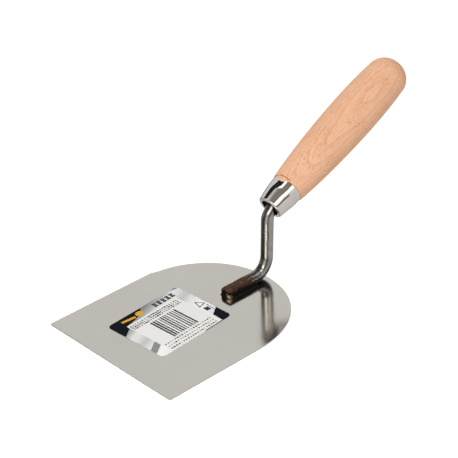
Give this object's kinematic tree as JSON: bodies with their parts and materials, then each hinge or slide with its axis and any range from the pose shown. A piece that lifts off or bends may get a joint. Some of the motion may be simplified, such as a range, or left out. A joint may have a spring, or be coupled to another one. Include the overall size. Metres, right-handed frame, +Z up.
{
  "type": "plastering trowel",
  "caption": "Flat D-shaped steel hand trowel: straight working edge, rounded heel, cranked round rod, chromed ferrule and turned wooden handle.",
  "frame": {"origin": "centre of the blade's sole: halfway along its length and width, on the flat underside", "axes": "+Z up out of the blade's upper face, +Y from the working edge towards the heel and the handle, +X across the blade to complete a right-handed frame"},
  "size_m": [0.1064, 0.2472, 0.113],
  "materials": {
    "blade_steel": "fine ground and polished, mirror-like at a low angle",
    "rod_steel": "drawn and forged rod, heat-tinted brown at the foot",
    "braze_filler": "dull brazing brass, smoked by the torch",
    "ferrule_chrome": "polished chrome plate",
    "brad_steel": "bright plated nail head",
    "beech": "steamed beech, turned, sanded and thinly lacquered",
    "label_paper": "satin printed sticker, silver and navy with a white panel"
  },
  "bodies": {
    "root": {"blade": "blade_steel", "shank": "rod_steel", "braze": "braze_filler", "ferrule": "ferrule_chrome", "ferrule_brad": "brad_steel", "handle": "beech", "label": "label_paper"}
  },
  "joints": []
}
